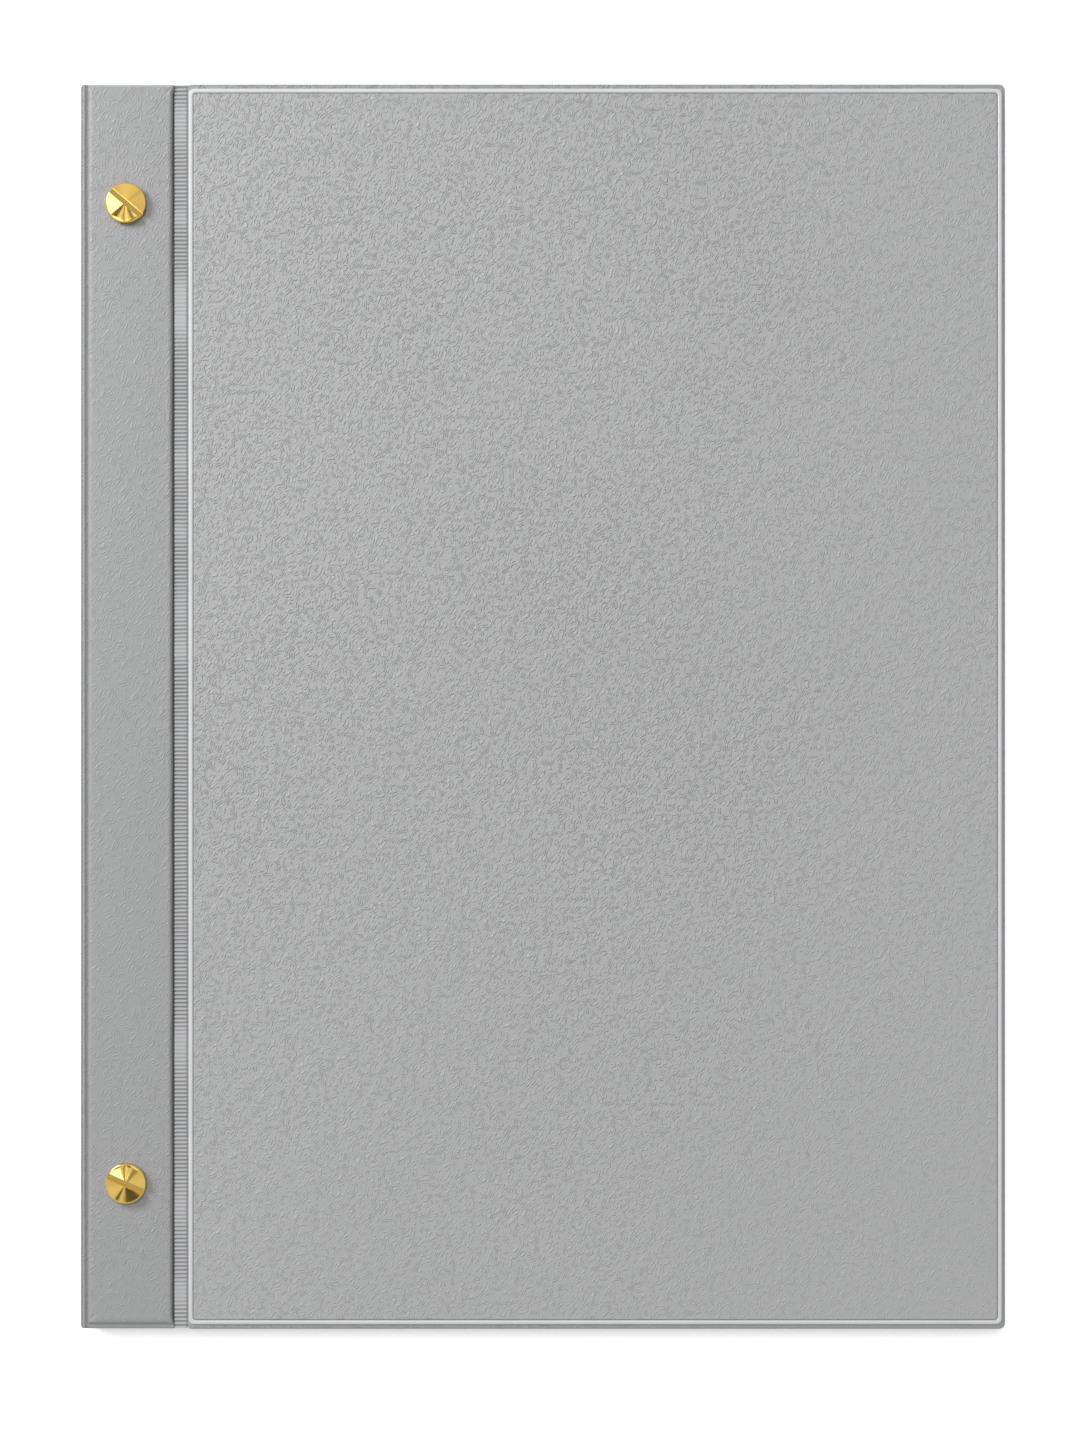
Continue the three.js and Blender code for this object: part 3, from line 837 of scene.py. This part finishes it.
brassPost = {
    "radius": brassScrew["radius"],
    "dimple": (1.2 * mm, 1.35 * mm, 0.04 * mm),  # inner and outer radius, depth
    "round": 0.3 * mm,
    "topRound": 0.12 * mm,
    "barrel": 2.5 * mm,
    "mouth": 0.15 * mm,
    "bore": 2.0 * mm,
    "boreFloor": (1.4 * mm, 0.9 * mm),  # above the head, at the wall and in the middle
}


def postBarrel(word):
    look = brassPost
    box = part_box(word + "_post")
    centre = Vector((*middleOf(box), box[0][2]))
    height = box[1][2] - box[0][2]
    headTop = backStripBox[0][2] - brassScrew["clearance"] - box[0][2]
    radius, barrel, mouth = look["radius"], look["barrel"], look["mouth"]
    dimpleInner, dimpleOuter, dimpleDepth = look["dimple"]
    profile = [(0, dimpleDepth), (dimpleInner, dimpleDepth), (dimpleOuter, 0.0)]
    profile += [(radius * share, 0.0) for share in (0.5, 0.75)]
    profile += arcPoints(radius - look["round"], look["round"], look["round"], -math.pi / 2, 0, 5)
    profile += arcPoints(
        radius - look["topRound"], headTop - look["topRound"], look["topRound"], 0, math.pi / 2, 3,
    )
    profile += [(barrel, headTop), (barrel, height - mouth), (barrel - mouth, height), (look["bore"], height)]
    profile += [(look["bore"], headTop + look["boreFloor"][0]), (0, headTop + look["boreFloor"][1])]
    post = turnedPiece(word + "_binding_post", profile, brassScrew["segments"], brassPolished)
    post.data.set_sharp_from_angle(angle=math.radians(40))
    post.location = centre
    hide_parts(word + "_post")
    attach(post, "binding")


for word in ("upper", "lower"):
    screwHead(word)
    postBarrel(word)
print("screws and posts ready")


# clear pockets with a white sheet in each
pockets = {
    "count": 20,
    "border": 3.0 * mm,
    "spineBorder": 22.0 * mm,
    "gap": 0.03 * mm,
    "stray": 0.45 * mm,
    "corner": 1.2 * mm,
    "swell": 0.03 * mm,  # how much thicker the pocket is over its sheet, on each side
    "headBorder": 0.8 * mm,
    "sheetCorner": 0.8 * mm,
}


def roundedOutline(left, right, low, high, radius, steps=3):
    points = []
    corners = (
        (right - radius, low + radius, -math.pi / 2),
        (right - radius, high - radius, 0),
        (left + radius, high - radius, math.pi / 2),
        (left + radius, low + radius, math.pi),
    )
    for cx, cy, start in corners:
        for i in range(steps + 1):
            angle = start + (math.pi / 2) * i / steps
            points.append((cx + radius * math.cos(angle), cy + radius * math.sin(angle)))
    return points


def addSlab(vertices, faces, outlinePoints, low, high):
    start = len(vertices)
    count = len(outlinePoints)
    vertices += [(x, y, low) for x, y in outlinePoints] + [(x, y, high) for x, y in outlinePoints]
    faces.append(tuple(start + i for i in reversed(range(count))))
    faces.append(tuple(start + count + i for i in range(count)))
    for i in range(count):
        j = (i + 1) % count
        faces.append((start + i, start + j, start + count + j, start + count + i))


def pocketBlock():
    look = pockets
    draw = random.Random(51)
    low, high = pagesBox[0][2], pagesBox[1][2]
    step = (high - low) / look["count"]
    films, filmFaces, sheets, sheetFaces = [], [], [], []
    left, right = pagesBox[0][0], pagesBox[1][0]
    foot, head = pagesBox[0][1], pagesBox[1][1]
    for pocket in range(look["count"]):
        bottom = low + pocket * step
        top = bottom + step - look["gap"]
        trimRight, trimFoot, trimHead = (draw.uniform(0, look["stray"]) for i in range(3))
        film = roundedOutline(left, right - trimRight, foot + trimFoot, head - trimHead, look["corner"])
        addSlab(films, filmFaces, film, bottom + look["swell"], top - look["swell"])
        # the sheet swells the pocket inside its welded border
        sheet = roundedOutline(
            left + look["spineBorder"], right - trimRight - look["border"],
            foot + trimFoot + look["border"], head - trimHead - look["headBorder"], look["sheetCorner"],
        )
        addSlab(sheets, sheetFaces, sheet, bottom, top)
    filmPiece = newPiece("pocket_films", films, filmFaces, filmClear, smooth=False)
    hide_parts("pocket_pages")
    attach(filmPiece, "binding")
    sheetPiece = newPiece("white_sheets_in_film", sheets, sheetFaces, sheetWhite, smooth=False)
    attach(sheetPiece, "binding")


pocketBlock()
print("pockets ready")


# floor, light and camera
studio = {
    "floorSize": 6.0,
    "floorColor": (0.985, 0.985, 0.985),
    "floorDrop": 0.05 * mm,
    "speckTone": 0.004,
    "worldLevel": 0.44,
    "brightest": 3.6,
    "ceilingLevel": 0.85,
    # two round ceiling lamps with dim and bright sectors, which polished metal shows: where the middle of
    # each stands overhead, as x and y for each metre of height, and the level at each angle from +X
    "lamps": {
        "head": {
            "middle": (-0.143, 0.1787),
            "sectors": (
                (-180, 3.6), (-147, 3.6), (-141, 0.12), (-122, 0.12), (-116, 0.8), (-102, 1.1), (-98, 0.15),
                (-92, 0.15), (-89, 1.3), (-82, 0.8), (-77, 0.12), (-61, 0.12), (-55, 1.7), (-44, 1.4),
                (-36, 0.74), (28, 0.88), (38, 0.62), (48, 0.9), (95, 1.0), (132, 0.8), (141, 0.5),
                (148, 3.6), (180, 3.6),
            ),
        },
        "tail": {
            "middle": (-0.143, -0.1574),
            "sectors": (
                (-180, 0.75), (-150, 0.9), (-128, 0.85), (-124, 0.12), (-117, 0.12), (-112, 0.9), (-97, 0.7),
                (-89, 0.12), (-44, 0.12), (-34, 0.7), (0, 0.88), (42, 0.8), (48, 0.3), (60, 0.3),
                (70, 1.5), (88, 1.8), (95, 0.4), (107, 0.5), (114, 3.6), (148, 3.6), (156, 0.6), (180, 0.75),
            ),
        },
    },
    "lampSplit": 0.0108,  # the slope that divides the two
    "lampHub": (0.042, 0.07),
    "hubLevel": 0.55,
    "horizonShine": 0.5,
    "horizon": (0.35, 0.7),  # the heights between which the backdrop turns white
    "leastHeight": 0.05,
    "lampReach": (0.24, 0.3),
    "sunLevel": 1.0,
    "sunTilt": (math.radians(-19), math.radians(-4)),  # light from above, leaning from the head and the spine
    "sunSize": math.radians(14),
    "softboxPlace": (-0.75, 0.52, 0.62),
    "softboxSize": 0.4,
    "softboxPower": 8.2,
    "floorGlow": 0.37,  # lifts the shadow where the camera sees the floor
}


def makeFloor():
    size = studio["floorSize"] / 2
    level = -studio["floorDrop"]
    mesh = bpy.data.meshes.new("studio_floor")
    corners = [(-size, -size, level), (size, -size, level), (size, size, level), (-size, size, level)]
    mesh.from_pydata(corners, [], [(0, 1, 2, 3)])
    floor = bpy.data.objects.new("studio_floor", mesh)
    scene.collection.objects.link(floor)
    material, nodes, links, shader = newMaterial("paleFloor")
    place = addNode(nodes, "ShaderNodeTexCoord").outputs["Object"]
    speck = addNoise(nodes, links, place, 5.0, 3.0)
    white = studio["floorColor"]
    color = addMix(nodes, links, speck.outputs["Fac"], white, tuple(c - studio["speckTone"] for c in white))
    links.new(color, shader.inputs["Base Color"])
    shader.inputs["Roughness"].default_value = 1.0
    shader.inputs["Specular IOR Level"].default_value = 0.0
    # seen from below, the floor lets the book show
    clear = addNode(nodes, "ShaderNodeBsdfTransparent")
    side = addNode(nodes, "ShaderNodeNewGeometry")
    rays = addNode(nodes, "ShaderNodeLightPath")
    seen = addMath(nodes, links, "MAXIMUM", rays.outputs["Is Camera Ray"], rays.outputs["Is Glossy Ray"])
    seen = addMath(nodes, links, "MAXIMUM", seen, rays.outputs["Is Transmission Ray"])
    shader.inputs["Emission Color"].default_value = (1, 1, 1, 1)
    glow = addMath(nodes, links, "MULTIPLY", seen, studio["floorGlow"])
    links.new(glow, shader.inputs["Emission Strength"])
    either = addNode(nodes, "ShaderNodeMixShader")
    links.new(side.outputs["Backfacing"], either.inputs[0])
    links.new(shader.outputs[0], either.inputs[1])
    links.new(clear.outputs[0], either.inputs[2])
    links.new(either.outputs[0], nodes["Material Output"].inputs["Surface"])
    mesh.materials.append(material)


def makeWorld():
    world = bpy.data.worlds.new("studio")
    scene.world = world
    world.use_nodes = True
    nodes, links = world.node_tree.nodes, world.node_tree.links
    background = nodes["Background"]
    background.inputs["Color"].default_value = (1, 1, 1, 1)
    rays = addNode(nodes, "ShaderNodeLightPath")
    direction = addNode(nodes, "ShaderNodeTexCoord").outputs["Generated"]
    split = addNode(nodes, "ShaderNodeSeparateXYZ")
    links.new(direction, split.inputs[0])
    up = addMath(nodes, links, "MAXIMUM", split.outputs["Z"], studio["leastHeight"])
    slopeX = addMath(nodes, links, "DIVIDE", split.outputs["X"], up)
    slopeY = addMath(nodes, links, "DIVIDE", split.outputs["Y"], up)
    levels = []
    for lamp in (studio["lamps"]["tail"], studio["lamps"]["head"]):
        x = addMath(nodes, links, "SUBTRACT", slopeX, lamp["middle"][0])
        y = addMath(nodes, links, "SUBTRACT", slopeY, lamp["middle"][1])
        compass = addRange(nodes, links, addMath(nodes, links, "ARCTAN2", y, x), -math.pi, math.pi, 0.0, 1.0)
        ring = addNode(nodes, "ShaderNodeValToRGB")
        ring.color_ramp.interpolation = "EASE"
        marks = [((degrees + 180) / 360, level) for degrees, level in lamp["sectors"]]
        ring.color_ramp.elements.remove(ring.color_ramp.elements[1])
        for i, (position, level) in enumerate(marks):
            element = ring.color_ramp.elements[0] if i == 0 else ring.color_ramp.elements.new(position)
            element.color = (level / studio["brightest"],) * 3 + (1,)
        links.new(compass, ring.inputs[0])
        sector = addMath(nodes, links, "MULTIPLY", ring.outputs["Color"], studio["brightest"])
        squareX = addMath(nodes, links, "MULTIPLY", x, x)
        squareY = addMath(nodes, links, "MULTIPLY", y, y)
        away = addMath(nodes, links, "SQRT", addMath(nodes, links, "ADD", squareX, squareY))
        hub = addRange(nodes, links, away, *studio["lampHub"], studio["hubLevel"], 0.0, True)
        inside = addRange(nodes, links, away, *studio["lampHub"], 0.0, 1.0, True)
        lit = addMath(nodes, links, "ADD", hub, addMath(nodes, links, "MULTIPLY", sector, inside))
        reach = addRange(nodes, links, away, *studio["lampReach"], 1.0, 0.0, True)
        beyond = addMath(nodes, links, "SUBTRACT", 1.0, reach)
        rest = addMath(nodes, links, "MULTIPLY", beyond, studio["ceilingLevel"])
        levels.append(addMath(nodes, links, "ADD", addMath(nodes, links, "MULTIPLY", lit, reach), rest))
    headSide = addMath(nodes, links, "GREATER_THAN", slopeY, studio["lampSplit"])
    tailSide = addMath(nodes, links, "SUBTRACT", 1.0, headSide)
    overhead = addMath(
        nodes, links, "ADD",
        addMath(nodes, links, "MULTIPLY", levels[0], tailSide),
        addMath(nodes, links, "MULTIPLY", levels[1], headSide),
    )
    high = addRange(nodes, links, split.outputs["Z"], *studio["horizon"], 0.0, 1.0, True)
    low = addMath(nodes, links, "SUBTRACT", 1.0, high)
    shine = addRange(nodes, links, rays.outputs["Is Glossy Ray"], 0.0, 1.0, 1.0, studio["horizonShine"])
    ceiling = addMath(
        nodes, links, "ADD",
        addMath(nodes, links, "MULTIPLY", overhead, high),
        addMath(nodes, links, "MULTIPLY", low, shine),
    )
    seen = addMath(nodes, links, "MAXIMUM", rays.outputs["Is Camera Ray"], rays.outputs["Is Glossy Ray"])
    seen = addMath(nodes, links, "MAXIMUM", seen, rays.outputs["Is Transmission Ray"])
    level = addMath(nodes, links, "MULTIPLY", seen, ceiling)
    hidden = addMath(nodes, links, "SUBTRACT", 1.0, seen)
    lit = addMath(nodes, links, "MULTIPLY", hidden, studio["worldLevel"])
    links.new(addMath(nodes, links, "ADD", level, lit), background.inputs["Strength"])


def makeLights():
    sunData = bpy.data.lights.new("sun", "SUN")
    sunData.energy = studio["sunLevel"]
    sunData.angle = studio["sunSize"]
    sun = bpy.data.objects.new("sun", sunData)
    sun.rotation_euler = (studio["sunTilt"][0], studio["sunTilt"][1], 0)
    sun.visible_glossy = False  # the ceiling stands in for it on shiny surfaces
    scene.collection.objects.link(sun)
    boxData = bpy.data.lights.new("softbox", "AREA")
    boxData.energy = studio["softboxPower"]
    boxData.size = studio["softboxSize"]
    softbox = bpy.data.objects.new("softbox", boxData)
    softbox.location = studio["softboxPlace"]
    softbox.rotation_euler = (-Vector(studio["softboxPlace"])).to_track_quat("-Z", "Y").to_euler()
    scene.collection.objects.link(softbox)


camera = {
    "distance": 0.75,  # from the face of the front cover
    "frameHeight": 0.3718,  # what the picture spans on that face
    "aim": (0.00008, -0.00448),
    "filmHeight": 36.0,
}


def makeCamera():
    data = bpy.data.cameras.new("camera")
    data.sensor_fit = "VERTICAL"
    data.sensor_height = camera["filmHeight"]
    data.lens = camera["filmHeight"] * camera["distance"] / camera["frameHeight"]
    data.clip_start = 0.01
    data.clip_end = 30
    seat = bpy.data.objects.new("camera", data)
    seat.location = (*camera["aim"], panelBox[1][2] + camera["distance"])
    scene.collection.objects.link(seat)
    scene.camera = seat


makeFloor()
makeWorld()
makeLights()
makeCamera()
scene.view_settings.view_transform = "Standard"
print("studio ready")
